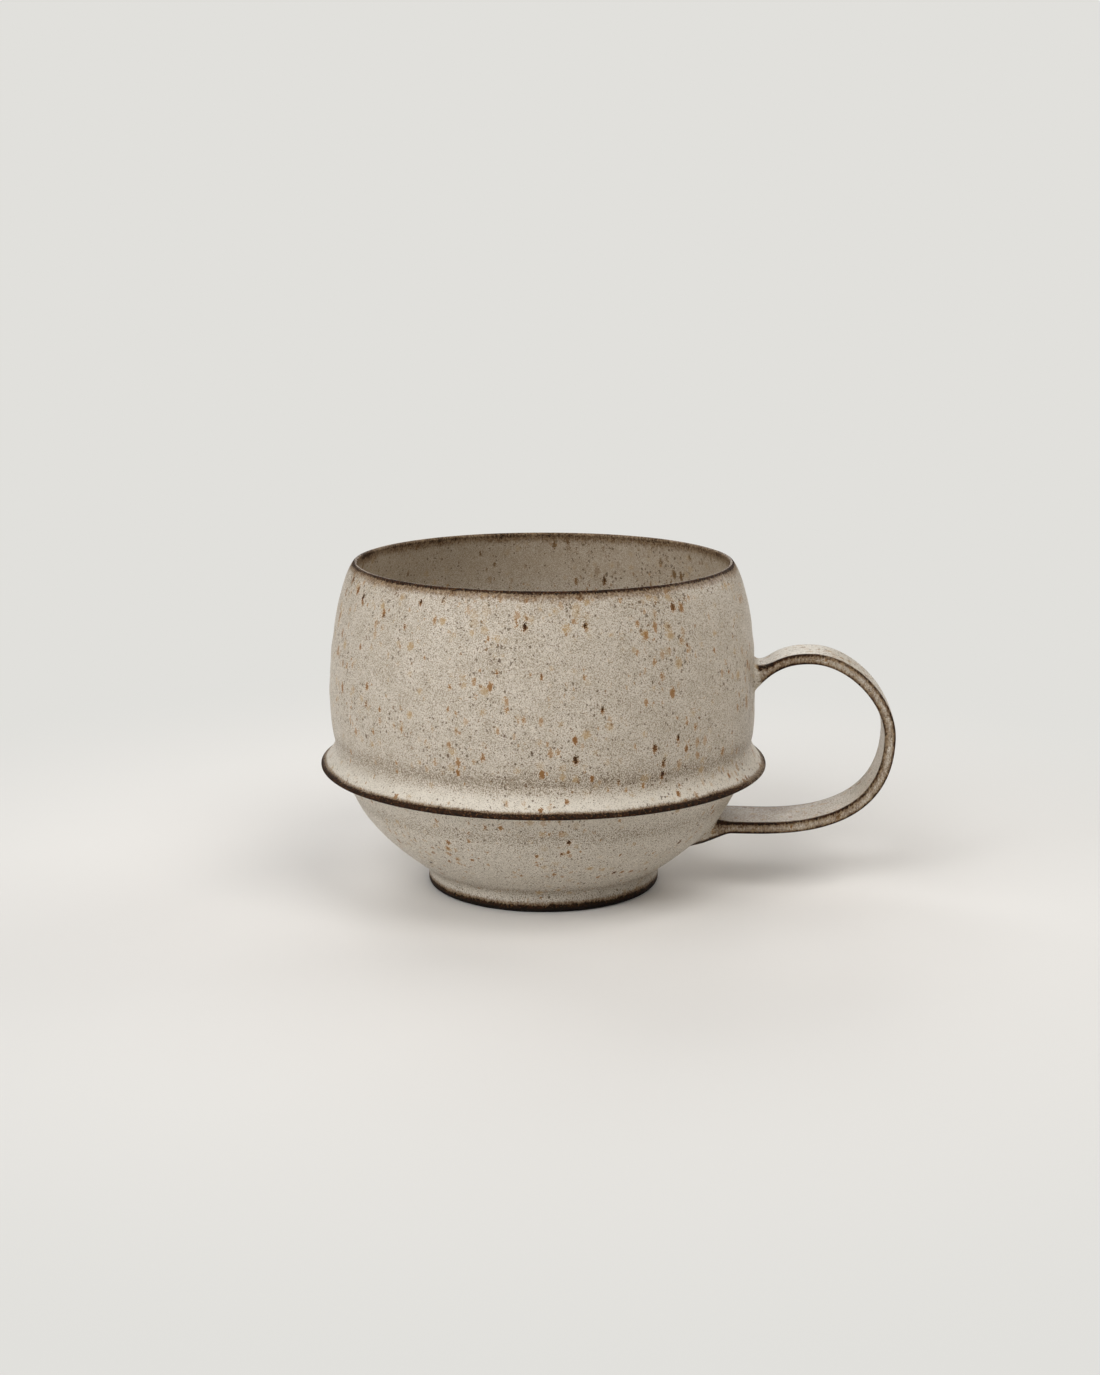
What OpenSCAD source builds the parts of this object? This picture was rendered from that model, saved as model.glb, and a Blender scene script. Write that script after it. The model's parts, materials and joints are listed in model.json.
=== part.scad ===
// Pedestal mug: a thrown stoneware cup with a turned foot, a flange round its
// waist and a pulled strap handle, fired as one piece.
// Millimetres. +Z is up, +X runs through the handle, and the origin is the
// centre of the foot's resting face.

/* [Foot] */
// Diameter of the foot's upright wall
foot_d = 55.4; // [48:0.1:62]
// Height at which the bowl springs from the foot
foot_h = 4.7; // [3.6:0.1:7]
// Rounding of the foot's lower outer edge
foot_edge = 1.3; // [0.5:0.1:2.2]
// Width of the ring that the mug rests on
foot_ring = 4.2; // [3:0.1:7]
// Depth of the turned recess under the foot
foot_recess = 3; // [1.5:0.1:4.5]
// Slope of the recess wall, as its run for its full depth
recess_run = 1.4; // [0.4:0.1:3]
// Rounding of the hollow corner between foot and bowl
foot_fillet = 1.5; // [0.8:0.1:3]

/* [Bowl] */
// Diameter of the bowl where it meets the flange
bowl_d = 94.6; // [86:0.1:98]
// Slope of the bowl at the foot, in degrees from level
bowl_rise = 35; // [25:1:50]
// Slope of the bowl at the flange, in degrees from level
bowl_steep = 73; // [60:1:85]
// Thickness of the bowl's wall
bowl_wall = 3.6; // [2.8:0.1:5]
// Thickness of the floor over the recess
floor_t = 4.8; // [3.6:0.1:7]

/* [Flange] */
// Diameter over the flange
flange_d = 104; // [102:0.1:112]
// Height of the flange's underside
flange_z = 28.7; // [24:0.1:32]
// Thickness of the flange at its edge
flange_t = 1.3; // [1:0.1:2.4]
// How far the edge's upper corner lies inside its widest line
flange_lean = 1; // [0.2:0.1:1.6]
// Rounding of the hollow corner under the flange
flange_fillet = 1.6; // [0.6:0.1:2]
// Height of the cove from the flange's edge up to the neck
cove_h = 5; // [3:0.1:7]

/* [Body] */
// Height of the mug
cup_h = 76.5; // [68:0.5:92]
// Diameter at the neck, just above the flange's cove
neck_d = 97.3; // [94:0.1:99]
// Widest diameter of the body
belly_d = 99.5; // [98:0.1:101]
// Height of the body's widest line
belly_z = 46; // [42:0.5:52]
// Diameter over the lip
rim_d = 87.7; // [80:0.1:94]
// Inward lean of the wall as it runs into the lip, in degrees
rim_lean = 40; // [20:1:50]
// Thickness of the body's wall
wall = 3; // [2.2:0.1:4]
// Thickness of the rounded lip
lip_t = 1; // [0.8:0.1:2]

/* [Handle] */
// Reach of the handle from the mug's axis
reach = 81.2; // [74:0.1:92]
// Height of the handle's farthest point
reach_z = 37.3; // [32:0.1:42]
// Height of the handle's top
handle_top = 56.5; // [53:0.1:64]
// Distance of the handle's top from the axis
handle_top_x = 61.9; // [58:0.1:66]
// Height at which the strap's middle leaves the body
root_z = 50.5; // [47:0.1:52]
// Rise of the strap as it leaves the body, in degrees
root_rise = 29; // [20:1:45]
// Height at which the strap's middle meets the bowl
tail_z = 15.4; // [14:0.1:19]
// Length of the level stretch of strap beside the bowl
tail_run = 8; // [4:0.1:12]
// Width of the strap at the body
strap_w = 11.8; // [9:0.1:15]
// Width of the strap at the bowl
strap_w_low = 15.2; // [10:0.1:17]
// Thickness of the strap at the body
strap_t = 2.35; // [1.8:0.05:3.4]
// Thickness of the strap at the bowl
strap_t_low = 2.75; // [2:0.05:3.4]
// Rounding of the strap's corners
strap_edge = 0.6; // [0.3:0.05:0.85]
// How far the clay is drawn up the body over the upper root
root_up = 4.4; // [1:0.1:6]
// How far the clay is drawn down the body under the upper root
root_down = 3; // [0.4:0.1:4]
// How far the clay is drawn out on each side of both roots
root_side = 2.2; // [0.4:0.1:3]
// Length of the strap over which the upper root swells
root_reach = 7; // [4:0.1:9]
// Length of the tail smeared down the bowl
tail_len = 8.2; // [4:0.1:11]
// Length of the strap over which the tail swells
tail_reach = 6.8; // [4:0.1:10]

/* [Hidden] */

$fn = 180;
glaze = [0.74, 0.69, 0.62];

// Points on each drawn curve, rings on each third of the handle, and points
// on each corner of the strap's section
steps = 16;
rings = 18;
corner = 6;

function unit(v) = v / norm(v);
function mix(a, b, t) = a + (b - a) * t;
function dir(a) = [cos(a), sin(a)];
function left(v) = [-v.y, v.x];
// Cubic curve through p[0] and p[3], and its direction
function curve(p, t) = let(s = 1 - t)
    s * s * s * p[0] + 3 * s * s * t * p[1] + 3 * s * t * t * p[2] + t * t * t * p[3];
function along(p, t) = let(s = 1 - t)
    unit(s * s * (p[1] - p[0]) + 2 * s * t * (p[2] - p[1]) + t * t * (p[3] - p[2]));
function trace(p, a, b, n) = [for (i = [0:n]) curve(p, mix(a, b, i / n))];
function round_off(a, b, c, n) = trace([a, mix(a, b, 2 / 3), mix(c, b, 2 / 3), c], 0, 1, n);

// Outer line of the cup, as radius and height

foot_r = foot_d / 2;
rest_out = foot_r - foot_edge;
rest_in = rest_out - foot_ring;
flange_r = flange_d / 2;
flange_top = flange_z + flange_t;
neck = [neck_d / 2, flange_top + cove_h];
belly = [belly_d / 2, belly_z];
lip = [(rim_d - lip_t) / 2, cup_h - lip_t / 2];
lip_out = lip + lip_t / 2 * dir(rim_lean);

bowl_low = [foot_r, foot_h];
bowl_high = [bowl_d / 2, flange_z];
bowl_span = norm(bowl_high - bowl_low);
bowl_line = [bowl_low, bowl_low + 0.42 * bowl_span * dir(bowl_rise),
             bowl_high - 0.33 * bowl_span * dir(bowl_steep), bowl_high];
// Share of the bowl's line that the hollow corners at its ends take up
low_cut = foot_fillet / bowl_span;
high_cut = 1 - flange_fillet / bowl_span;

cove_low = [flange_r - flange_lean, flange_top];
cove_line = [cove_low, mix(cove_low, [neck.x, neck.y - 0.28 * cove_h], 0.42),
             [neck.x, neck.y - 0.42 * cove_h], neck];
waist_line = [neck, [mix(neck.x, belly.x, 0.5), mix(neck.y, belly.y, 0.18)],
              belly - [0, (belly.y - neck.y) / 2], belly];
body_line = [belly, belly + [0, 0.41 * (lip.y - belly.y)],
             lip_out - 0.16 * (lip.y - belly.y) * left(dir(rim_lean)), lip_out];

outer_line = concat(
    round_off([rest_out, 0], [foot_r, 0], [foot_r, foot_edge], 6),
    round_off([foot_r, max(foot_edge, foot_h - foot_fillet / 2)], bowl_low,
              curve(bowl_line, low_cut), 5),
    trace(bowl_line, low_cut + 1 / steps, high_cut - 1 / steps, steps),
    round_off(curve(bowl_line, high_cut), bowl_high,
              bowl_high + [flange_fillet / 2, 0], 4),
    round_off([flange_r - flange_t / 3, flange_z], [flange_r, flange_z],
              [flange_r, flange_z + flange_t / 3], 4),
    round_off([flange_r, flange_z + flange_t * 0.4],
              [flange_r, flange_z + flange_t * 0.8], cove_low, 4),
    [for (p = trace(cove_line, 0.1, 1, steps)) p],
    [for (p = trace(waist_line, 0.2, 1, 6)) p],
    [for (p = trace(body_line, 1 / steps, 1 - 1 / steps, steps)) p]);

// Inner line: the outer one moved in by the wall, thinning to the lip

function wall_at(t) = mix(wall, lip_t, t * t * t);
inner_body = [for (i = [0:steps]) let(t = 1 - i / steps)
    curve(body_line, t) + wall_at(t) * left(along(body_line, t))];
inner_belly = belly - [wall, 0];
inner_top = bowl_high + bowl_wall * left(dir(bowl_steep));
inner_drop = inner_belly.y - inner_top.y;
inner_waist = trace([inner_belly, inner_belly - [0, 0.45 * inner_drop],
                     inner_top + 0.35 * inner_drop * dir(bowl_steep), inner_top],
                    1 / steps, 1 - 1 / steps, steps - 2);
// Share of the bowl's line at which the inside turns into the floor
floor_cut = 0.3;
inner_bowl = [for (i = [0:steps]) let(t = mix(1, floor_cut, i / steps))
    curve(bowl_line, t) + bowl_wall * left(along(bowl_line, t))];
floor_z = foot_recess + floor_t;
floor_end = inner_bowl[steps];
floor_slope = along(bowl_line, floor_cut);
floor_flat = rest_in / 3;
// Where the bowl's inner slope, carried on, would reach the floor
floor_turn = floor_end.x - (floor_end.y - floor_z) * floor_slope.x / floor_slope.y;

inner_line = concat(
    inner_body,
    inner_waist,
    inner_bowl,
    trace([floor_end, mix(floor_end, [floor_turn, floor_z], 0.7),
           mix([floor_flat, floor_z], [floor_turn, floor_z], 0.7), [floor_flat, floor_z]],
          1 / steps, 1, steps - 1),
    [[0, floor_z]]);

recess_in = rest_in - recess_run;
recess_line = concat(
    [[0, foot_recess]],
    round_off([recess_in - recess_run, foot_recess], [recess_in, foot_recess],
              [rest_in - recess_run / 2, foot_recess / 2], 5),
    [[rest_in, 0]]);

// Outer radius of the cup at a height, and the slope of its outer line there
radius_table = [for (p = concat(trace(bowl_line, 0, 1, 3 * steps),
                                trace(waist_line, 0, 1, steps),
                                trace(body_line, 0.05, 1, 3 * steps))) [p.y, p.x]];
function radius_at(z) = lookup(z, radius_table);
function slope_at(z, d) = unit([radius_at(z + d) - radius_at(z - d), 2 * d]);

// Middle line of the handle, as distance from the axis and height

up_tangent = slope_at(root_z, wall / 2);
low_tangent = slope_at(tail_z, bowl_wall / 2);
// Both ends stop inside the wall that they grow from
up_end = [radius_at(root_z), root_z] - 0.45 * wall / cos(root_rise) * dir(root_rise);
low_join = [radius_at(tail_z) + tail_run, tail_z];
low_end = [radius_at(tail_z) - 0.42 * bowl_wall / low_tangent.y, tail_z];
crest = [handle_top_x, handle_top - strap_t / 2];
far = [reach - strap_t / 2, reach_z];

up_line = [up_end, up_end + 0.4 * (crest.x - up_end.x) * dir(root_rise),
           crest - [0.54 * (crest.x - up_end.x), 0], crest];
out_line = [crest, crest + [0.5 * (far.x - crest.x), 0],
            far + [0, 0.47 * (crest.y - far.y)], far];
low_line = [far, far - [0, far.y - low_join.y], low_join + [0.3 * (far.x - low_join.x), 0],
            low_join];

// Stations [middle, direction], closer together near both roots
stations = concat(
    [for (i = [0:rings - 1]) let(t = pow(i / rings, 1.5)) [curve(up_line, t), along(up_line, t)]],
    [for (i = [0:rings - 1]) let(t = i / rings) [curve(out_line, t), along(out_line, t)]],
    [for (i = [0:rings - 1]) let(t = i / rings) [curve(low_line, t), along(low_line, t)]],
    [for (i = [0:rings]) [mix(low_join, low_end, i / rings), [-1, 0]]]);
last = len(stations) - 1;

// How much of a swelling is left at distance d from the root
function swell(d, reach, p) = pow(max(0, 1 - d / reach), p);

// One ring of the strap's section: its outer, inner and side half-sizes, with
// corners of their own, set square to the strap or turned to lie in the wall
function ring_at(i) = let(
    m = stations[i][0],
    du = norm(m - up_end),
    dl = norm(m - low_end),
    upper = i <= last / 2,
    share = i / last,
    turn = upper ? swell(du, root_reach, 1.3) : swell(dl, tail_reach, 1.3),
    across = unit(mix(left(stations[i][1]), upper ? up_tangent : -low_tangent, turn)),
    half_t = mix(strap_t, strap_t_low, share) / 2,
    out = half_t + (upper ? root_up * swell(du, root_reach, 2.8)
                          : (tail_len - half_t) * swell(dl, tail_reach, 1.8)),
    inn = half_t + root_down * swell(min(du, dl), root_reach, 3),
    side = mix(strap_w, strap_w_low, share) / 2
           + root_side * swell(min(du, dl), root_reach, 4),
    soft = upper ? swell(du, root_reach, 1) : swell(dl, tail_reach, 1),
    out_a = mix(strap_edge, 0.8 * out, soft),
    out_b = mix(strap_edge, 0.75 * side, soft),
    inn_a = mix(strap_edge, 0.6 * inn, soft),
    inn_b = mix(strap_edge, 0.25 * side, soft))
    concat(
        [for (k = [0:corner - 1]) let(a = 90 * k / (corner - 1))
            place(m, across, out - out_a + out_a * cos(a), side - out_b + out_b * sin(a))],
        [for (k = [0:corner - 1]) let(a = 90 * k / (corner - 1))
            place(m, across, -inn + inn_a - inn_a * sin(a), side - inn_b + inn_b * cos(a))],
        [for (k = [0:corner - 1]) let(a = 90 * k / (corner - 1))
            place(m, across, -inn + inn_a - inn_a * cos(a), -side + inn_b - inn_b * sin(a))],
        [for (k = [0:corner - 1]) let(a = 90 * k / (corner - 1))
            place(m, across, out - out_a + out_a * sin(a), -side + out_b - out_b * cos(a))]);
function place(m, across, a, b) = [m.x + a * across.x, b, m.y + a * across.y];

sides = 4 * corner;

module cup() {
    rotate_extrude()
        polygon(concat(
            outer_line,
            [for (k = [0:8]) lip + lip_t / 2 * dir(rim_lean + 180 * k / 8)],
            [for (i = [1:len(inner_line) - 1]) inner_line[i]],
            recess_line));
}

module handle() {
    polyhedron(
        points = [for (i = [0:last]) for (p = ring_at(i)) p],
        faces = concat(
            [[for (k = [0:sides - 1]) sides - 1 - k]],
            [for (i = [0:last - 1]) for (k = [0:sides - 1])
                let(a = i * sides + k, b = i * sides + (k + 1) % sides)
                each [[a, b, a + sides], [b, b + sides, a + sides]]],
            [[for (k = [0:sides - 1]) last * sides + k]]));
}

module mug() {
    color(glaze)
    union() {
        cup();
        handle();
    }
}

mug();
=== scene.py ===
# %% [markdown]
# # Pedestal mug
#
# A stoneware mug, thrown on a wheel. It stands on a turned foot, its waist
# carries a thin flange, and a flat strap of clay is bent into the handle.
# The CAD model fixes its size and place, and this lesson makes the piece that
# is seen: finer curves, roots blended by hand, and a speckled satin glaze.

# %% The frame, and one unit for all sizes
import json
import math

import bmesh
import bpy
import numpy as np
from mathutils import Matrix, Vector

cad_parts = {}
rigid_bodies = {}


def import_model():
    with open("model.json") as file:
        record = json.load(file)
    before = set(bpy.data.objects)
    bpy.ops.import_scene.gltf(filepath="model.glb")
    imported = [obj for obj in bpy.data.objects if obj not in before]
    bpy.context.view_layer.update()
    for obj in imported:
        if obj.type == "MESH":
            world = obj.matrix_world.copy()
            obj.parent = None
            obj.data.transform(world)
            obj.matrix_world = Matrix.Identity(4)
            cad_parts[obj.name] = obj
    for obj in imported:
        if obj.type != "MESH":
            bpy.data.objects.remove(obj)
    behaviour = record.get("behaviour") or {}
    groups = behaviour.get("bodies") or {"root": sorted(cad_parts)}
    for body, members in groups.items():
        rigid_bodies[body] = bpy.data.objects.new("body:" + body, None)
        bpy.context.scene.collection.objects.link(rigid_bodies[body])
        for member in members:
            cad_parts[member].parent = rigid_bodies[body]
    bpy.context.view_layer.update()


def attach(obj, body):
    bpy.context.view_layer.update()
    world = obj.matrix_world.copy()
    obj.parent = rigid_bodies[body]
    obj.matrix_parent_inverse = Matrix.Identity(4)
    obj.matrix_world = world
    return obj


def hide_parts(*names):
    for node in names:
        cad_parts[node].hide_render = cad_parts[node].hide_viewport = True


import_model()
MM = 0.001

# %% [markdown]
# ## Curves
#
# A potter's profile has no straight lines, so each stretch is drawn as a cubic
# curve: two ends, and two points that pull it. A hollow or rounded corner is
# one more short curve. The CAD solid is drawn in the same way from nearly the
# same values; the foot here is slightly smaller, and the strap's roots softer.

# %% Drawing curves
def at(x, y):
    return np.array([x, y], float)


def mix(a, b, share):
    return a + (b - a) * share


def heading(degrees):
    return at(math.cos(math.radians(degrees)), math.sin(math.radians(degrees)))


def turned_left(v):
    return at(-v[1], v[0])


def unit(v):
    return v / np.linalg.norm(v)


def curve(p, t):
    s = 1 - t
    return s**3 * p[0] + 3 * s * s * t * p[1] + 3 * s * t * t * p[2] + t**3 * p[3]


def along(p, t):
    s = 1 - t
    return unit(s * s * (p[1] - p[0]) + 2 * s * t * (p[2] - p[1]) + t * t * (p[3] - p[2]))


def trace(p, first, last, count):
    return [curve(p, mix(first, last, i / count)) for i in range(count + 1)]


def corner(a, b, c, count):
    return trace([a, mix(a, b, 2 / 3), mix(c, b, 2 / 3), c], 0, 1, count)


# %% [markdown]
# ## The cup's outer line
#
# The line starts under the foot, runs up the bowl, out round the flange, back
# through the cove above it and up the body to the lip. Thrown clay keeps the
# marks of the fingers, so a few waves less than a tenth of a millimetre deep
# are laid on the bowl and the body, and one deeper groove on the bowl.

# %% Measures of the cup, in millimetres
FOOT_R, FOOT_H, FOOT_EDGE, FOOT_RING = 27.2, 4.4, 1.2, 4.1
RECESS, RECESS_RUN, FOOT_FILLET = 3.0, 1.4, 2.4
BOWL_R, BOWL_RISE, BOWL_STEEP, BOWL_WALL, FLOOR_T = 47.3, 35, 73, 3.6, 4.8
FLANGE_R, FLANGE_Z, FLANGE_T, FLANGE_LEAN = 52.0, 28.7, 1.3, 1.0
FLANGE_FILLET, COVE_H = 1.6, 5.0
CUP_H, NECK_R, BELLY_R, BELLY_Z = 76.5, 48.65, 49.75, 46.0
RIM_R, RIM_LEAN, WALL, LIP_T = 43.85, 40, 3.0, 1.0
GROOVE_Z, GROOVE_DEPTH = 22.4, 0.16

REST_OUT = FOOT_R - FOOT_EDGE
REST_IN = REST_OUT - FOOT_RING
FLANGE_TOP = FLANGE_Z + FLANGE_T
print("foot rests on a ring from", round(REST_IN, 1), "to", round(REST_OUT, 1), "mm")

# %% The cup's curves
neck = at(NECK_R, FLANGE_TOP + COVE_H)
belly = at(BELLY_R, BELLY_Z)
lip = at(RIM_R - LIP_T / 2, CUP_H - LIP_T / 2)
lip_out = lip + LIP_T / 2 * heading(RIM_LEAN)
bowl_low, bowl_high = at(FOOT_R, FOOT_H), at(BOWL_R, FLANGE_Z)
bowl_span = np.linalg.norm(bowl_high - bowl_low)
cove_low = at(FLANGE_R - FLANGE_LEAN, FLANGE_TOP)

bowl_line = [bowl_low, bowl_low + 0.42 * bowl_span * heading(BOWL_RISE),
             bowl_high - 0.33 * bowl_span * heading(BOWL_STEEP), bowl_high]
cove_line = [cove_low, mix(cove_low, neck - at(0, 0.28 * COVE_H), 0.42),
             neck - at(0, 0.42 * COVE_H), neck]
waist_line = [neck, at(mix(neck[0], belly[0], 0.5), mix(neck[1], belly[1], 0.18)),
              belly - at(0, (belly[1] - neck[1]) / 2), belly]
body_line = [belly, belly + at(0, 0.41 * (lip[1] - belly[1])),
             lip_out - 0.16 * (lip[1] - belly[1]) * turned_left(heading(RIM_LEAN)), lip_out]
print("bowl:", round(bowl_span, 1), "mm from foot to flange, measured straight")

# %% The outer line with its throwing marks
def throwing_mark(z):
    """How far the fingers left the clay out or in at a height, in mm."""
    body = math.exp(-((z - 54) / 15) ** 4)
    bowl = math.exp(-((z - 17) / 7) ** 4)
    waves = 0.05 * math.sin(z / 1.45 + 0.6) + 0.035 * math.sin(z / 0.83 + 2.0)
    return (body * waves + bowl * 0.03 * math.sin(z / 0.9)
            - GROOVE_DEPTH * math.exp(-((z - GROOVE_Z) / 1.5) ** 2))


def marked(points):
    return [p + at(throwing_mark(p[1]), 0) for p in points]


low_cut, high_cut = FOOT_FILLET / bowl_span, 1 - FLANGE_FILLET / bowl_span
outer_line = (
    trace([at(x, 0) for x in (REST_IN + 0.5, REST_IN + 1.5, REST_OUT - 1, REST_OUT)], 0, 1, 5)
    + corner(at(REST_OUT, 0), at(FOOT_R, 0), at(FOOT_R, FOOT_EDGE), 7)[1:]
    + trace([at(FOOT_R, h) for h in (1.3, 1.8, 2.4, 3.0)], 0, 1, 6)
    + corner(at(FOOT_R, FOOT_H - FOOT_FILLET / 2), bowl_low, curve(bowl_line, low_cut), 6)
    + marked(trace(bowl_line, low_cut + 0.02, high_cut - 0.02, 42))
    + corner(curve(bowl_line, high_cut), bowl_high, bowl_high + at(FLANGE_FILLET / 2, 0), 6)
    + trace([at(x, FLANGE_Z) for x in (48.6, 49.6, 50.6, 51.4)], 0, 1, 4)
    + corner(at(51.5, FLANGE_Z), at(FLANGE_R, FLANGE_Z), at(FLANGE_R, FLANGE_Z + 0.45), 5)
    + corner(at(FLANGE_R, FLANGE_Z + 0.55), at(FLANGE_R, FLANGE_Z + 1.05), cove_low, 6)
    + trace(cove_line, 0.08, 1, 18)
    + marked(trace(waist_line, 0.08, 1, 14) + trace(body_line, 0.02, 0.98, 62)))
print("outer line:", len(outer_line), "points, widest", round(max(p[0] for p in outer_line), 2), "mm")

# %% [markdown]
# ## The inside and the recess under the foot
#
# The inside follows the outside one wall thickness in, and thins to the lip.
# The lip is a half circle. Under the foot, a shallow recess is turned out.

# %% The inside
FLOOR_CUT = 0.3


def wall_at(t):
    return mix(WALL, LIP_T, t**3)


inner_belly = belly - at(WALL, 0)
inner_top = bowl_high + BOWL_WALL * turned_left(heading(BOWL_STEEP))
drop = inner_belly[1] - inner_top[1]
floor_z, floor_flat = RECESS + FLOOR_T, REST_IN / 3
floor_slope = along(bowl_line, FLOOR_CUT)
floor_end = curve(bowl_line, FLOOR_CUT) + BOWL_WALL * turned_left(floor_slope)
floor_turn = at(floor_end[0] - (floor_end[1] - floor_z) * floor_slope[0] / floor_slope[1], floor_z)

inner_line = (
    [lip + LIP_T / 2 * heading(RIM_LEAN + 20 * k) for k in range(10)]
    + [curve(body_line, t) + wall_at(t) * turned_left(along(body_line, t))
       for t in np.linspace(0.975, 0, 44)]
    + trace([inner_belly, inner_belly - at(0, 0.45 * drop),
             inner_top + 0.35 * drop * heading(BOWL_STEEP), inner_top], 0.06, 0.94, 15)
    + [curve(bowl_line, t) + BOWL_WALL * turned_left(along(bowl_line, t))
       for t in np.linspace(1, FLOOR_CUT, 26)]
    + trace([floor_end, mix(floor_end, floor_turn, 0.7),
             mix(at(floor_flat, floor_z), floor_turn, 0.7), at(floor_flat, floor_z)], 0.06, 1, 16)
    + [at(x, floor_z) for x in (5.4, 3.4, 1.6, 0)])
print("inside:", round(CUP_H - floor_z, 1), "mm deep")

# %% The recess, and the whole profile
recess_line = (
    [at(x, RECESS) for x in (0, 3, 7, 11, 15)]
    + corner(at(REST_IN - 2.4 * RECESS_RUN, RECESS), at(REST_IN - RECESS_RUN, RECESS),
             at(REST_IN - RECESS_RUN / 2, RECESS / 2), 6)
    + corner(at(REST_IN - 0.2, 0.45), at(REST_IN, 0), at(REST_IN + 0.45, 0), 4))
profile = recess_line + outer_line + inner_line
print("whole profile:", len(profile), "points")

# %% [markdown]
# ## Throwing the cup
#
# On the real wheel the clay turns and the hands stay still. Here a single
# vertex is extruded from point to point into the profile, and Spin turns it
# once round the axis. The points that lie on the axis are merged at the end.

# %% Draw the profile, point by point
def step(a, b):
    return ((b[0] - a[0]) * MM, 0, (b[1] - a[1]) * MM)


bpy.ops.object.select_all(action="DESELECT")
bpy.ops.mesh.primitive_plane_add(size=MM, location=(0, 0, 0))
mug = bpy.context.object
mug.name = mug.data.name = "thrown_mug"
bpy.ops.object.mode_set(mode="EDIT")
bpy.ops.mesh.select_mode(type="VERT")
bpy.ops.mesh.merge(type="CENTER")
bpy.ops.transform.translate(value=step(at(0, 0), profile[0]))
for here, there in zip(profile, profile[1:]):
    bpy.ops.mesh.extrude_region_move(TRANSFORM_OT_translate={"value": step(here, there)})
print("drawn:", len(profile), "points of", mug.name)

# %% Spin it round the axis
TURNS = 224

bpy.ops.mesh.select_all(action="SELECT")
bpy.ops.mesh.spin(steps=TURNS, angle=2 * math.pi, center=(0, 0, 0), axis=(0, 0, 1))
bpy.ops.mesh.select_all(action="SELECT")
bpy.ops.mesh.remove_doubles(threshold=0.002 * MM)
bpy.ops.mesh.normals_make_consistent(inside=False)
bpy.ops.object.mode_set(mode="OBJECT")
print("cup:", len(mug.data.polygons), "faces, box in mm", [round(v / MM, 1) for v in mug.dimensions])

# %% Press the wall flatter where the handle will go
PRESS_DEPTH, PRESS_Z = 0.55, 48


def ease(low, high, x):
    t = np.clip((x - low) / (high - low), 0, 1)
    return t * t * (3 - 2 * t)


def positions(piece):
    held = np.empty(3 * len(piece.data.vertices))
    piece.data.vertices.foreach_get("co", held)
    return held.reshape(-1, 3) / MM


places = positions(mug)
side_angle = np.arctan2(places[:, 1], places[:, 0])
pressed = PRESS_DEPTH * np.exp(-(side_angle / 0.5) ** 2 - ((places[:, 2] - PRESS_Z) / 10) ** 2)
places[:, 0] -= pressed * ease(20, 40, np.hypot(places[:, 0], places[:, 1]))
mug.data.vertices.foreach_set("co", (places * MM).ravel())
mug.data.update()
print("pressed in by up to", round(float(pressed.max()), 2), "mm")

# %% [markdown]
# ## The strap's way
#
# A pulled handle is a flat strap that leaves the body a little below the
# shoulder, rises, turns over and comes back level into the bowl. Its middle
# line is three curves and a straight run. Stations on it lie closer together
# near both roots, where the strap swells to meet the wall.

# %% Measures of the strap, in millimetres
REACH, REACH_Z, HANDLE_TOP, HANDLE_TOP_X = 81.2, 37.3, 56.5, 61.9
ROOT_Z, ROOT_RISE, TAIL_Z, TAIL_RUN = 50.5, 29, 15.4, 8.0
STRAP_W, STRAP_W_LOW, STRAP_T, STRAP_T_LOW, STRAP_EDGE = 11.8, 15.2, 2.35, 2.75, 0.55
ROOT_UP, ROOT_DOWN, ROOT_SIDE, ROOT_REACH = 4.4, 1.8, 2.2, 7.0
TAIL_LEN, TAIL_REACH = 8.2, 6.8

outside = np.array([p for p in trace(bowl_line, 0, 1, 60) + trace(waist_line, 0, 1, 30)
                    + trace(body_line, 0.02, 1, 60)])


def radius_at(z):
    return float(np.interp(z, outside[:, 1], outside[:, 0]))


def slope_at(z, reach):
    return unit(at(radius_at(z + reach) - radius_at(z - reach), 2 * reach))


print("wall's radius at the upper root:", round(radius_at(ROOT_Z), 1), "mm")

# %% The strap's middle line
up_tangent, low_tangent = slope_at(ROOT_Z, WALL / 2), slope_at(TAIL_Z, BOWL_WALL / 2)
into_wall = 0.45 * WALL / math.cos(math.radians(ROOT_RISE))
up_end = at(radius_at(ROOT_Z), ROOT_Z) - into_wall * heading(ROOT_RISE)
low_join = at(radius_at(TAIL_Z) + TAIL_RUN, TAIL_Z)
low_end = at(radius_at(TAIL_Z) - 0.42 * BOWL_WALL / low_tangent[1], TAIL_Z)
crest, far = at(HANDLE_TOP_X, HANDLE_TOP - STRAP_T / 2), at(REACH - STRAP_T / 2, REACH_Z)
run = crest[0] - up_end[0]
up_line = [up_end, up_end + 0.4 * run * heading(ROOT_RISE), crest - at(0.54 * run, 0), crest]
out_line = [crest, crest + at(0.5 * (far[0] - crest[0]), 0),
            far + at(0, 0.47 * (crest[1] - far[1])), far]
low_line = [far, at(far[0], low_join[1]), low_join + at(0.3 * (far[0] - low_join[0]), 0), low_join]

way = np.array(trace(up_line, 0, 1, 400)[:-1] + trace(out_line, 0, 1, 400)[:-1]
               + trace(low_line, 0, 1, 400)[:-1]
               + [mix(low_join, low_end, i / 200) for i in range(201)])
run_to = np.concatenate([[0], np.cumsum(np.linalg.norm(np.diff(way, axis=0), axis=1))])
strap_run = run_to[-1]


def middle_at(d):
    return at(np.interp(d, run_to, way[:, 0]), np.interp(d, run_to, way[:, 1]))


print("strap:", round(strap_run, 1), "mm long")

# %% Stations along the strap
CLOSE_STEP, WIDE_STEP, CLOSE_REACH = 0.32, 0.85, 8

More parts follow.
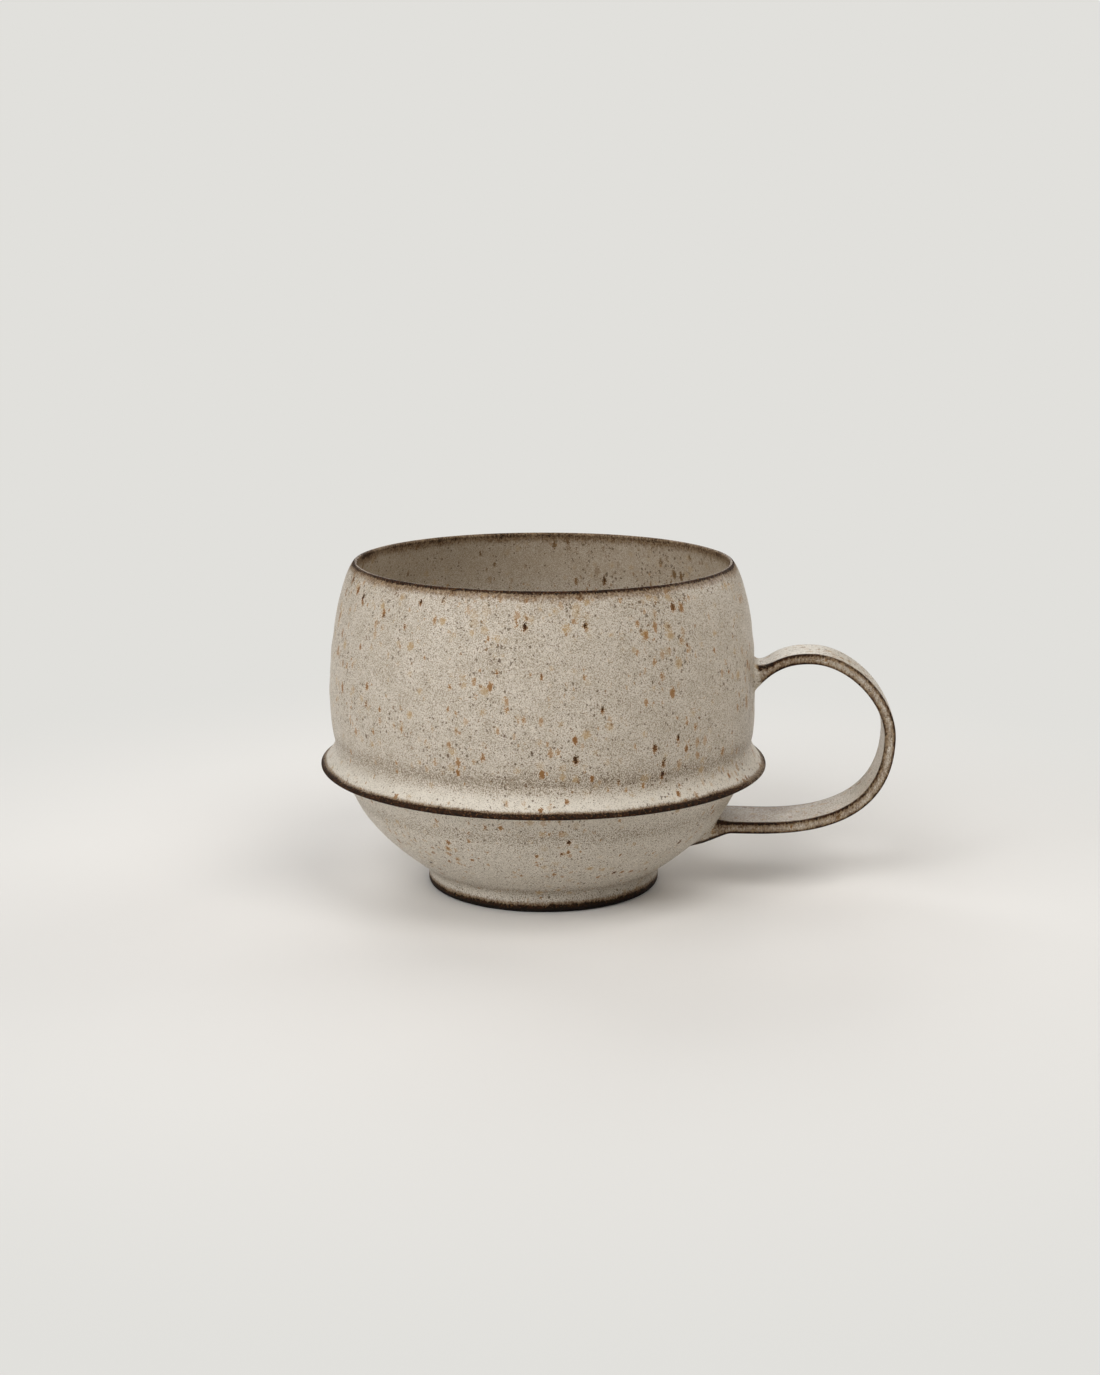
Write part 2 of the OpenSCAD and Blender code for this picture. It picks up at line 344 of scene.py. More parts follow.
stops = [0.0]
while stops[-1] < strap_run:
    to_root = min(stops[-1], strap_run - stops[-1])
    stops.append(stops[-1] + (CLOSE_STEP if to_root < CLOSE_REACH else WIDE_STEP))
stops[-1] = strap_run
print("strap:", len(stops), "stations")

# %% [markdown]
# ## The strap's section
#
# The section is a flat bar with rounded corners and slightly crowned faces.
# Towards a root it swells on its outer side, its inner side and its edges, and
# its corners soften, as clay does under the thumb. Each point also gets a
# number that says how thin the glaze lies there, from 0 on the flat faces to
# about 1 on the corners, where a glaze pulls away. Near the lower root the same
# number paints shade on the tail's outer side and a shadow in one corner of the
# inner face.

# %% One section of the strap
CORNER_POINTS = 6
EDGE_SHARES = {0.15: 0.58, 0.5: 0.46, 0.85: 0.54}
FACE_SHARES = (0.035, 0.1, 0.19, 0.28, 0.37, 0.46, 0.54, 0.63, 0.72, 0.81, 0.9, 0.965)
CROWN = 0.1


def section(out, inn, side, out_a, out_b, inn_a, inn_b):
    """Rows of across, wide and thinness of glaze, once round the section."""
    turn = np.radians(np.linspace(0, 90, CORNER_POINTS))
    c, s = np.cos(turn), np.sin(turn)
    outer, inner = 0.8 + 0.22 * np.sin(2 * turn), 0.76 + 0.22 * np.sin(2 * turn)
    # a corner that widens towards a root stays dark only along a line
    from_line = np.abs(turn - 0.86) * (out_a + out_b) / 2
    outer *= 1 - 0.75 * ease(0.9, 2.0, from_line)
    corners = [
        np.stack([out - out_a + out_a * c, side - out_b + out_b * s, outer], 1),
        np.stack([-inn + inn_a - inn_a * s, side - inn_b + inn_b * c, inner], 1),
        np.stack([-inn + inn_a - inn_a * c, -side + inn_b - inn_b * s, inner], 1),
        np.stack([out - out_a + out_a * s, -side + out_b - out_b * c, outer[::-1]], 1)]
    ring = []
    for k in range(4):
        here, there = corners[k], corners[(k + 1) % 4]
        on_edge = k % 2 == 0
        ring += list(here)
        for share in (EDGE_SHARES if on_edge else FACE_SHARES):
            point = mix(here[-1], there[0], share)
            to_corner = min(share, 1 - share) * 2 * side
            point[2] = EDGE_SHARES[share] if on_edge else max(0, 0.7 - to_corner / 0.6)
            ring.append(point)
    ring = np.array(ring)
    ring[:, 0] *= 1 + CROWN * (1 - (ring[:, 1] / side) ** 2)
    return ring


print("section:", len(section(1, 1, 6, *[STRAP_EDGE] * 4)), "points")

# %% The section on its station
COVERED_TO = 1.7


def swell(d, reach, power):
    return max(0, 1 - d / reach) ** power


def thinness_of(ring, near, share, upper, out, side):
    """Thinness of the glaze on a ring that lies near mm from its root, with painted shade and shadow near
    the lower root.
    """
    covered = swell(max(near - COVERED_TO, 0), 0.9, 1)
    thin = ring[:, 2] * (1 + 0.22 * swell(near, 17, 1)) * (0.9 + 0.25 * share)
    if upper:
        return thin * (1 - covered)
    # painted shade: the tail's outer side stays dark near the lower root
    tail_painted_shade = np.clip(ring[:, 0] / out, 0, 1) ** 2
    # painted shadow: a dark patch in the back corner of the strap's inner face, near the lower root
    corner_painted_shadow = 0.9 * math.exp(-((near - 3.2) / 1.1) ** 2) * ease(0.7, 0.95, ring[:, 1] / side)
    return (thin * (1 - covered * (1 - tail_painted_shade)) + 0.3 * tail_painted_shade * swell(near, 9, 1)
            + corner_painted_shadow * (ring[:, 0] < 0))


def ring_at(d):
    """Points of the strap's ring at d mm along it, with the thinness of its glaze."""
    middle = middle_at(d)
    forward = unit(middle_at(min(d + 0.1, strap_run)) - middle_at(max(d - 0.1, 0)))
    upper, share = d < strap_run / 2, d / strap_run
    near = np.linalg.norm(middle - (up_end if upper else low_end))
    reach = ROOT_REACH if upper else TAIL_REACH
    turn = swell(near, reach, 1.3)
    across = unit(mix(turned_left(forward), up_tangent if upper else -low_tangent, turn))
    half = mix(STRAP_T, STRAP_T_LOW, share) / 2
    out = half + (ROOT_UP * swell(near, ROOT_REACH, 2.8) if upper
                  else (TAIL_LEN - half) * swell(near, TAIL_REACH, 1.8))
    inn = half + ROOT_DOWN * swell(near, ROOT_REACH, 3)
    side = mix(STRAP_W, STRAP_W_LOW, share) / 2 + ROOT_SIDE * swell(near, ROOT_REACH, 4)
    soft = swell(near, reach, 1)
    ring = section(out, inn, side,
                   mix(STRAP_EDGE, 0.8 * out, soft), mix(STRAP_EDGE, 0.75 * side, soft),
                   mix(STRAP_EDGE, 0.6 * inn, soft), mix(STRAP_EDGE, 0.25 * side, soft))
    points = [(middle[0] + a * across[0], b, middle[1] + a * across[1]) for a, b, _ in ring]
    return np.array(points) * MM, thinness_of(ring, near, share, upper, out, side)


rings = [ring_at(d) for d in stops]
print("rings:", len(rings), "of", len(rings[0][0]), "points")

# %% [markdown]
# ## Pulling the strap
#
# A straight tube is made first: a circle, extruded once for each station, and
# capped. Then every ring of the tube is laid on its own station. A vertex
# knows its station by its height in the tube, and its place on the section by
# its angle.

# %% Make the tube
SECTION_POINTS = 4 * CORNER_POINTS + 2 * len(EDGE_SHARES) + 2 * len(FACE_SHARES)

bpy.ops.object.select_all(action="DESELECT")
bpy.ops.mesh.primitive_circle_add(vertices=SECTION_POINTS, radius=1, location=(0, 0, 0))
strap = bpy.context.object
strap.name = strap.data.name = "strap"
bpy.ops.object.mode_set(mode="EDIT")
bpy.ops.mesh.select_all(action="SELECT")
for _ in stops[1:]:
    bpy.ops.mesh.extrude_region_move(TRANSFORM_OT_translate={"value": (0, 0, 1)})
bpy.ops.object.mode_set(mode="OBJECT")
print("tube:", len(strap.data.vertices), "vertices")

# %% Lay the tube along its way
def write(piece, name, held):
    """Keeps a number for each vertex, under a name that a material can read."""
    field = piece.data.attributes.get(name) or piece.data.attributes.new(name, "FLOAT", "POINT")
    field.data.foreach_set("value", held)


tube = np.empty(3 * len(strap.data.vertices))
strap.data.vertices.foreach_get("co", tube)
tube = tube.reshape(-1, 3)
ring_of = np.rint(tube[:, 2]).astype(int)
turn_of = np.rint(np.arctan2(tube[:, 0], tube[:, 1]) / (2 * math.pi) * SECTION_POINTS).astype(int)
laid = np.array([rings[i][0][k % SECTION_POINTS] for i, k in zip(ring_of, turn_of)])
thin = np.array([rings[i][1][k % SECTION_POINTS] for i, k in zip(ring_of, turn_of)])
strap.data.vertices.foreach_set("co", laid.ravel())
write(strap, "thin_glaze", thin)
print("thinness on the strap: up to", round(float(thin.max()), 2))

# %% Cap both ends
def pick(piece, kind, wanted):
    """Selects the vertices, edges or faces for which wanted is true, and only those."""
    bpy.ops.mesh.select_mode(type=kind)
    bpy.ops.mesh.select_all(action="DESELECT")
    mesh = bmesh.from_edit_mesh(piece.data)
    parts = {"VERT": mesh.verts, "EDGE": mesh.edges, "FACE": mesh.faces}[kind]
    chosen = [e for e in parts if wanted(e)]
    for e in chosen:
        e.select_set(True)
    mesh.select_flush_mode()
    bmesh.update_edit_mesh(piece.data)
    return len(chosen)


bpy.ops.object.mode_set(mode="EDIT")
for end in (up_end, low_end):
    spot = Vector((end[0] * MM, 0, end[1] * MM))
    pick(strap, "EDGE", lambda e: e.is_boundary and (e.verts[0].co - spot).length < 20 * MM)
    bpy.ops.mesh.edge_face_add()
bpy.ops.mesh.select_all(action="SELECT")
bpy.ops.mesh.normals_make_consistent(inside=False)
bpy.ops.object.mode_set(mode="OBJECT")
print("strap:", len(strap.data.polygons), "faces, box in mm", [round(v / MM, 1) for v in strap.dimensions])

# %% [markdown]
# ## Joining and blending
#
# The wall is cut finer where the strap meets it, the two are joined into one
# body by a Boolean, and the seam is smoothed in rounds that shrink towards it.
# That leaves the soft hollow that a wet finger leaves at both roots. A Boolean
# can also leave faces with many corners, and these are cut into triangles, so
# that the mesh is still closed once it is exported.

# %% Cut the wall finer at both roots
def make_active(piece):
    bpy.ops.object.select_all(action="DESELECT")
    piece.select_set(True)
    bpy.context.view_layer.objects.active = piece


def finer_near(piece, spot, reach, cuts):
    def close(face):
        middle = face.calc_center_median()
        outward = face.normal.dot(Vector((middle.x, middle.y, 0)).normalized())
        return (middle - spot).length < reach and outward > 0.2
    bpy.ops.object.mode_set(mode="EDIT")
    found = pick(piece, "FACE", close)
    bpy.ops.mesh.subdivide(number_cuts=cuts, smoothness=0)
    bpy.ops.object.mode_set(mode="OBJECT")
    print("cut finer:", found, "faces")


UPPER_ROOT = Vector((radius_at(ROOT_Z) * MM, 0, (ROOT_Z + 0.6) * MM))
LOWER_ROOT = Vector((radius_at(TAIL_Z - 2) * MM, 0, (TAIL_Z - 2) * MM))
make_active(mug)
finer_near(mug, UPPER_ROOT, 11 * MM, 1)
finer_near(mug, LOWER_ROOT, 13 * MM, 1)

# %% Join the strap to the cup
for name in ("thin_glaze", "from_strap"):
    write(mug, name, np.zeros(len(mug.data.vertices)))
write(strap, "from_strap", np.ones(len(strap.data.vertices)))
union = mug.modifiers.new("join the strap", "BOOLEAN")
union.operation, union.solver, union.object = "UNION", "MANIFOLD", strap
bpy.ops.object.modifier_apply(modifier=union.name)
bpy.data.objects.remove(strap)
print("joined:", len(mug.data.polygons), "faces, attributes", [a.name for a in mug.data.attributes])

# %% Blend the seam
SMOOTHING = ((7, 2), (5, 3), (3, 5), (2, 5))


def values(piece, name):
    held = np.empty(len(piece.data.vertices))
    piece.data.attributes[name].data.foreach_get("value", held)
    return held


strap_share = values(mug, "from_strap")
bpy.ops.object.mode_set(mode="EDIT")
seam = set()
mesh = bmesh.from_edit_mesh(mug.data)
for e in mesh.edges:
    a, b = (v.index for v in e.verts)
    if (strap_share[a] > 0.5) != (strap_share[b] > 0.5):
        seam |= {a, b}
for reach, rounds in SMOOTHING:
    pick(mug, "VERT", lambda v: v.index in seam)
    for _ in range(reach):
        bpy.ops.mesh.select_more()
    bpy.ops.mesh.vertices_smooth(factor=0.5, repeat=rounds)
many_cornered = pick(mug, "FACE", lambda f: len(f.verts) > 4)
bpy.ops.mesh.quads_convert_to_tris(quad_method="BEAUTY", ngon_method="BEAUTY")
bpy.ops.object.mode_set(mode="OBJECT")
print("seam:", len(seam), "vertices blended,", many_cornered, "faces with many corners cut into triangles")

# %% [markdown]
# ## Where the glaze runs thin and where it gathers
#
# A glaze pulls away from sharp edges, and the dark iron clay shows through
# there. It gathers in hollows, where its specks crowd, and lies thick and pale
# where it could settle. All this is written on the mesh as numbers for the
# material to read: thin_glaze on the lip, the flange's edge, the foot's edge
# and the strap's corners, pooled_glaze_and_painted_shade in hollows, thick_glaze_and_painted_light on the
# cove, the bowl and the top of the strap, inside on the cup's inner wall, and bare_clay
# on the ring that the mug stands on. Some of these numbers also paint light
# and shade: thin_glaze paints a shadow on the strap's low run and tail and a
# contact shadow on the foot's edge, and keeps a painted highlight on the lip's
# top; pooled_glaze_and_painted_shade paints shade in the hollows, the crease over the foot and
# under the flange; thick_glaze_and_painted_light paints light on ledges that face up and on the
# bowl; inside paints shade on the cup's inner wall.

# %% Where each vertex lies
x, y, z = positions(mug).T
r = np.hypot(x, y)
around = np.abs(np.arctan2(y, x))
facing = np.empty(3 * len(mug.data.vertices))
mug.data.vertex_normals.foreach_get("vector", facing)
facing_up = facing.reshape(-1, 3)[:, 2]
on_cup = 1 - ease(0.02, 0.4, values(mug, "from_strap"))
on_foot = (z < 3.2) & (r > REST_IN - 0.6)
outer_r = np.interp(z, outside[:, 1], outside[:, 0])
is_outside = ease(-1.5, -0.6, r - outer_r)
print("on the strap:", int((on_cup < 0.5).sum()), "of", len(z), "vertices")

# %% Thin on the edges, with painted shadow on the strap and the foot
def from_flange(height):
    """Distance to the flange's upright edge, taken as that high."""
    return np.hypot(r - np.clip(r, FLANGE_R - 0.5, FLANGE_R),
                    z - np.clip(z, FLANGE_Z, FLANGE_Z + height))


def fading(start, distance, run, most=1.0):
    """A thinness that starts at an edge and fades to nothing away from it."""
    return np.clip(start - distance / run, 0, most)


def bump(where, middle, width):
    return np.exp(-((where - middle) / width) ** 2)


from_lip = np.hypot(r - lip[0], z - lip[1]) - LIP_T / 2
# painted highlight: the lip's top, where it faces up, is kept less dark
lip_top_painted_highlight = 1 - 0.6 * ease(0.9, 0.995, facing_up) * (z > CUP_H - 1)
lip_inner = 1 - 0.24 * (r < lip[0])
# the flange's dark line is narrower beside the handle and across from it
narrower = 1 - 0.3 * bump(around, 0, 0.4) - 0.2 * bump(around, math.pi, 0.4)
over_flange = on_cup * (z > FLANGE_Z)
# painted shadow: the strap's lower run, where it faces up, darker towards the root that the cup shades
low_run_painted_shadow = (1 - on_cup) * ease(0.3, 0.8, facing_up) * (z < 40)
thin = np.maximum.reduce([
    on_cup * lip_top_painted_highlight * lip_inner * fading(1.08, from_lip, 0.9, 1.08),
    on_cup * fading(0.82, from_lip, 3.4),
    on_cup * fading(0.34, from_lip, 30),
    on_cup * narrower * fading(1.48, from_flange(0.65), 1.15, 1.22),
    over_flange * fading(0.95, from_flange(0.9), 1.9),
    over_flange * fading(0.42, from_flange(0.9), 6),
    # the foot's edge: dark iron clay, partly a painted contact shadow
    on_foot * fading(1.95, z - 0.2, 1.6, 1.6),
    on_foot * fading(0.5, z - 1.4, 4, 0.5),
    low_run_painted_shadow * (0.42 - 0.2 * ease(56, 76, r)),
    values(mug, "thin_glaze")])
write(mug, "thin_glaze", thin)
print("thin on", int((thin > 0.5).sum()), "vertices")

# %% Gathered in hollows with painted shade, thick on ledges with painted light, bare on the ring
COVE_Z, FOOT_HOLLOW_Z = 36.2, 5.5

# painted shade as well as pooled glaze: more pepper in the groove over the cove, the throwing groove, the
# crease over the foot, the bowl under the flange and below, and the upper inner wall
hollows = (bump(z, COVE_Z, 1.9) + 0.6 * bump(z, GROOVE_Z, 1.7)
           + 0.9 * bump(z, FOOT_HOLLOW_Z, 0.9) + 0.5 * ease(27, 24, z))
pooled_and_painted_shade = on_cup * is_outside * hollows + 0.45 * (1 - is_outside) * ease(56, 68, z)
in_cove = on_cup * (r > outer_r - 0.8) * (z > 28) * (z < 40)
on_strap_top = (1 - on_cup) * (z > 45)
# painted light: surfaces that face up on the cove and the strap's top are paler, along with the thick
# glaze there
pale_ledges_and_painted_light = ease(0.15, 0.75, facing_up) * np.maximum(in_cove, 0.8 * on_strap_top)
write(mug, "pooled_glaze_and_painted_shade", pooled_and_painted_shade)
# painted light: the bowl below the flange is paler, for light thrown up from the table
write(mug, "thick_glaze_and_painted_light", pale_ledges_and_painted_light + 0.58 * on_cup * (z < 28))
# painted shade on the cup's inner wall, stronger above 57 mm
write(mug, "inside", on_cup * (1 - is_outside) * (0.2 + 0.8 * ease(57, 69, z)))
write(mug, "bare_clay", 1.0 * (z < 0.35) * (r > REST_IN - 0.6))
print("pooled on", int((pooled_and_painted_shade > 0.5).sum()), "vertices")

# %% [markdown]
# ## The hand in it
#
# No thrown pot is quite round. Slow clouds of noise shift the whole wall
# sideways, inside and outside together, by a tenth or two of a millimetre. The
# foot is held still, so that the mug stands flat.

# %% Shift the wall a little
UNEVENNESS = 0.5 * MM
CLOUD_SIZES = {"X": 0.034, "Y": 0.027}

free = mug.vertex_groups.new(name="above the foot")
levels = np.round(ease(2, 16, z), 2)
for level in np.unique(levels):
    if level > 0:
        free.add(np.nonzero(levels == level)[0].tolist(), float(level), "REPLACE")
for direction, size in CLOUD_SIZES.items():
    cloud = bpy.data.textures.new("slow unevenness", "CLOUDS")
    cloud.noise_scale, cloud.noise_depth = size, 0
    uneven = mug.modifiers.new("unevenness", "DISPLACE")
    uneven.texture, uneven.texture_coords, uneven.direction = cloud, "LOCAL", direction
    uneven.strength, uneven.mid_level, uneven.vertex_group = UNEVENNESS, 0.5, free.name
    bpy.ops.object.modifier_apply(modifier=uneven.name)
mug.vertex_groups.clear()
for name in ("from_strap", "UVMap"):
    if name in mug.data.attributes:
        mug.data.attributes.remove(mug.data.attributes[name])
bpy.ops.object.shade_smooth()
print("mug:", sum(len(f.vertices) - 2 for f in mug.data.polygons), "triangles, box in mm",
      [round(v / MM, 2) for v in mug.dimensions])

# %% [markdown]
# ## A satin stoneware glaze
#
# The glaze is a warm oatmeal grey. Up close it is many things: a fine pepper of
# grey-brown, dark dust, ochre halos, iron specks from ochre to rust that ran a
# little downwards, a few of them with a near-black heart, and brown edges. All
# patterns read Object coordinates in millimetres, so their scale is real, and a
# small recipe class keeps the nodes readable.

# %% Colours, and a recipe for nodes
def colour(red, green, blue):
    def linear(c):
        c /= 255
        return c / 12.92 if c <= 0.04045 else ((c + 0.055) / 1.055) ** 2.4
    return linear(red), linear(green), linear(blue), 1


class Recipe:
    """Adds nodes to one material, with values or links given by socket name."""

    def __init__(self, tree):
        self.tree = tree
        tree.nodes.clear()

    def add(self, kind, sockets=None, **settings):
        node = self.tree.nodes.new("ShaderNode" + kind)
        for name, value in settings.items():
            setattr(node, name, value)
        for name, value in (sockets or {}).items():
            if isinstance(value, bpy.types.NodeSocket):
                self.tree.links.new(value, node.inputs[name])
            else:
                node.inputs[name].default_value = value
        return node

    def math(self, operation, a, b=0.0, c=0.0):
        return self.add("Math", {0: a, 1: b, 2: c}, operation=operation).outputs[0]

    def times(self, a, b):
        return self.math("MULTIPLY", a, b)

    def times_plus(self, a, b, c):
        return self.math("MULTIPLY_ADD", a, b, c)

    def ramp(self, value, low, high, to_low=0.0, to_high=1.0):
        """Eases from to_low, where value is low, to to_high, where it is high."""
        sockets = {"Value": value, "From Min": low, "From Max": high,
                   "To Min": to_low, "To Max": to_high}
        return self.add("MapRange", sockets, interpolation_type="SMOOTHSTEP").outputs["Result"]

    def blend(self, share, under, over):
        return self.add("Mix", {0: share, 6: under, 7: over}, data_type="RGBA").outputs[2]

    def noise(self, where, scale, detail=2.0, roughness=0.5, output="Fac"):
        sockets = {"Vector": where, "Scale": scale, "Detail": detail, "Roughness": roughness}
        return self.add("TexNoise", sockets).outputs[output]

    def field(self, name):
        return self.add("Attribute", attribute_name=name).outputs["Fac"]

    def report(self, what):
        print(what + ":", len(self.tree.nodes), "nodes so far")


# %% Where the patterns lie
glaze = bpy.data.materials.new("speckled satin glaze")
glaze.use_nodes = True
mixing = Recipe(glaze.node_tree)
place = mixing.add("Mapping", {"Vector": mixing.add("TexCoord").outputs["Object"],
                               "Scale": (1 / MM, 1 / MM, 1 / MM)}).outputs[0]
height = mixing.add("SeparateXYZ", {0: place}).outputs[2]
grain = mixing.noise(place, 4.2, 2, 0.6)
thin_glaze, pooled_glaze_and_painted_shade, thick_glaze_and_painted_light, inside, bare_clay = (
    mixing.field(n) for n in ("thin_glaze", "pooled_glaze_and_painted_shade", "thick_glaze_and_painted_light", "inside", "bare_clay"))
# the patterns are fainter inside the cup
calm = mixing.ramp(inside, 0, 1, 1, 0.5)
mixing.report("place and fields")

# %% [markdown]
# ## The oatmeal body
#
# Two close greys drift into each other. Where the glaze lies thick it is
# paler, and the same paleness is painted light on ledges that face up and on
# the bowl. Inside the cup it is darker and browner, which is painted shade. A
# fine grain of pale and grey-brown points covers it all, denser where the
# glaze gathers and where shade is painted in hollows and under the flange.

# %% The body and its pepper
cloudy = mixing.noise(place, 0.25, 6, 0.7)
body = mixing.blend(mixing.ramp(cloudy, 0.36, 0.64), colour(178, 168, 153), colour(193, 184, 171))
# painted light: paler where thick glaze settles, on ledges that face up and on the bowl
body = mixing.blend(mixing.times(thick_glaze_and_painted_light, 0.75), body, colour(218, 212, 200))
# painted shade: the cup's inner wall darker and browner
body = mixing.blend(mixing.times(inside, 0.5), body, colour(160, 140, 113))
pale_points = mixing.times(mixing.ramp(grain, 0.5, 0.34, 0, 0.75), calm)
body = mixing.blend(pale_points, body, colour(213, 204, 189))
# more pepper where glaze pools and where shade is painted in hollows, less where light is painted
dusk = mixing.math("SUBTRACT", pooled_glaze_and_painted_shade, mixing.times(thick_glaze_and_painted_light, 0.6))
pepper = mixing.ramp(mixing.times_plus(dusk, 0.09, grain), 0.48, 0.68, 0, 0.9)
body = mixing.blend(mixing.times(pepper, calm), body, colour(118, 101, 80))
mixing.report("body and pepper")

# %% [markdown]
# ## Specks
#
# Iron in the clay melts through the glaze as specks. Each kind of speck is one
# cell pattern: every cell holds at most one speck, with a size and a luck of
# its own. Torn coordinates make the outlines ragged, and a slow noise crowds
# the specks here and thins them out there.

# %% A pattern of specks
tear = mixing.noise(place, 1.9, 5, 0.75, output="Color")
ragged = mixing.add("VectorMath", {0: tear, 1: (0.9, 0.9, 1.3), 2: place},
                    operation="MULTIPLY_ADD").outputs[0]
crowding = mixing.times(mixing.ramp(mixing.noise(place, 0.07), 0.36, 0.62, 0.8, 1.3),
                        mixing.ramp(height, 50, 66, 1, 1.15))
torn = mixing.ramp(grain, 0.32, 0.68, 0.7, 1.3)


def specks(cell, drawn_down, smallest, largest, share, softness, shift):
    """A mask of specks in cells of that many mm, the luck of each, and how deep in one a point is."""
    where = mixing.add("Mapping", {"Vector": ragged, "Location": shift,
                                   "Scale": (1 / cell, 1 / cell, 1 / (cell * drawn_down))}).outputs[0]
    cells = mixing.add("TexVoronoi", {"Vector": where, "Scale": 1.0})
    chance = mixing.add("SeparateColor", {"Color": cells.outputs["Color"]})
    growth = mixing.math("POWER", mixing.ramp(chance.outputs[0], 1 - share, 1), 1.8)
    size = mixing.times_plus(growth, (largest - smallest) / cell, smallest / cell)
    size = mixing.times(size, mixing.math("GREATER_THAN", chance.outputs[0], 1 - share))
    size = mixing.times(mixing.times(size, crowding), torn)
    depth = mixing.math("SUBTRACT", size, cells.outputs["Distance"])
    return mixing.ramp(depth, 0, softness / cell), chance.outputs[1], depth


mixing.report("ragged places")

# %% Dust and halos
dust, _, _ = specks(0.75, 1.1, 0.07, 0.27, 0.7, 0.1, (5.3, 2.2, 9.1))
body = mixing.blend(mixing.times(dust, 0.78), body, colour(88, 69, 48))

halo, halo_luck, _ = specks(2.4, 1.1, 0.2, 1.0, 0.9, 0.8, (3.1, 7.7, 1.3))
halo = mixing.times(mixing.times(halo, calm), mixing.ramp(halo_luck, 0, 1, 0.3, 0.85))
body = mixing.blend(halo, body, colour(166, 138, 97))
mixing.report("dust and halos")

# %% Rust specks and their hearts
IRON_SPECKS = (1.8, 1.9, 0.12, 0.58, 0.95, 0.18)

rust, rust_luck, rust_depth = specks(*IRON_SPECKS, (21.4, 8.6, 3.2))
core = mixing.blend(rust_luck, colour(167, 127, 78), colour(118, 76, 40))
rusty = mixing.blend(mixing.ramp(rust_depth, 0.02, 0.15), colour(172, 142, 98), core)
# painted shade: specks on the cup's inner wall darker
rusty = mixing.blend(mixing.times(inside, 0.8), rusty, colour(104, 84, 60))
strength = mixing.ramp(rust_luck, 0, 0.75, 0.4, 0.97)
body = mixing.blend(mixing.times(rust, strength), body, rusty)

# the hearts lie in the same cells, a little off the middle
_, heart_luck, heart_depth = specks(*IRON_SPECKS, (21.4, 8.6, 3.1))
heart = mixing.times(mixing.ramp(heart_depth, 0.11, 0.19), mixing.ramp(heart_luck, 0.88, 0.94))
body = mixing.blend(heart, body, colour(54, 31, 14))
mixing.report("rust and hearts")

# %% Small flecks
fleck, fleck_luck, _ = specks(1.4, 1.3, 0.08, 0.32, 0.55, 0.12, (11.2, 5.1, 8.4))
fleck = mixing.times(fleck, mixing.ramp(inside, 0, 1, 0.85, 0.65))
body = mixing.blend(fleck, body, mixing.blend(fleck_luck, colour(156, 120, 80), colour(76, 54, 36)))
mixing.report("flecks")

# %% [markdown]
# ## Edges where the clay shows
#
# The thinness that the mesh carries is broken up by noise, so that no edge is
# ruled. As it grows, the oatmeal turns brown and then nearly black, with amber
# dots painted on as glints, painted highlights of the glossy edge. The black
# is deepest at the foot's edge, partly as a painted contact shadow. The ring
# under the foot has no glaze.

# %% Brown and black edges
streaks = mixing.add("Mapping", {"Vector": place, "Scale": (1, 1, 0.35)}).outputs[0]
break_up = mixing.math("SUBTRACT", mixing.noise(streaks, 2.4, 4, 0.8), 0.5)
drift = mixing.math("SUBTRACT", mixing.noise(place, 0.09), 0.5)
thinness = mixing.times_plus(break_up, 1.4, thin_glaze)
thinness = mixing.times_plus(drift, mixing.ramp(thin_glaze, 0.1, 0.4, 0, 0.6), thinness)

edge_brown = mixing.blend(mixing.ramp(mixing.noise(place, 1.9, 3, 0.65), 0.4, 0.6),
                          colour(90, 64, 40), colour(138, 116, 88))
body = mixing.blend(mixing.ramp(thinness, 0.22, 0.72, 0, 0.9), body, edge_brown)
black = mixing.ramp(thinness, 0.76, 1.0, 0, 0.98)
iron = mixing.blend(mixing.ramp(mixing.noise(place, 1.3, 3, 0.7), 0.4, 0.6),
                    colour(18, 7, 1), colour(52, 27, 9))
# painted highlight: amber dots on the dark edges stand for glints
painted_glints = mixing.ramp(mixing.noise(place, 2.6, 2, 0.6), 0.6, 0.7, 0, 0.6)
iron = mixing.blend(painted_glints, iron, colour(132, 98, 58))
# near black where thinness runs deepest, most at the foot's edge, partly a painted contact shadow
iron = mixing.blend(mixing.ramp(thinness, 1.2, 1.5), iron, colour(12, 6, 3))
body = mixing.blend(black, body, iron)
body = mixing.blend(bare_clay, body, colour(40, 27, 19))
mixing.report("edges")

# %% [markdown]
# ## A satin skin
#
# The fired skin is satin, not glossy, with pits less than a twentieth of a
# millimetre deep. Black edges and bare clay are drier, so they are rougher.

# %% The skin, and the glaze on the mug
PIT_DEPTH = 0.04 * MM

pits = mixing.times_plus(mixing.noise(place, 3.4), 0.5, mixing.times(grain, 0.6))
pits = mixing.times_plus(rust, 0.2, pits)
relief = mixing.add("Bump", {"Strength": 0.5, "Distance": PIT_DEPTH, "Height": pits}).outputs[0]
sheen = mixing.times_plus(bare_clay, 0.4, mixing.ramp(grain, 0.35, 0.65, 0.34, 0.46))
sheen = mixing.times_plus(black, 0.3, sheen)
skin = mixing.add("BsdfPrincipled",
                  {"Base Color": body, "Roughness": sheen, "Normal": relief, "IOR": 1.22})
mixing.add("OutputMaterial", {"Surface": skin.outputs[0]})
mug.data.materials.clear()
mug.data.materials.append(glaze)
mixing.report("whole glaze")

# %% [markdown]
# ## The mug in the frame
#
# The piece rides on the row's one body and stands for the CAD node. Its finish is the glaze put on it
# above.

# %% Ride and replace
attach(mug, "root")
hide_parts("mug")
print(mug.name, "has", len(mug.data.vertices), "vertices and", len(mug.data.materials), "material")

# %% [markdown]
# ## The camera
#
# The camera stands half a metre away and a little above the lip, with the lens
# of a 55 mm on a full frame. The mug is turned so that its handle comes five
# degrees towards the camera; here the camera is turned instead.

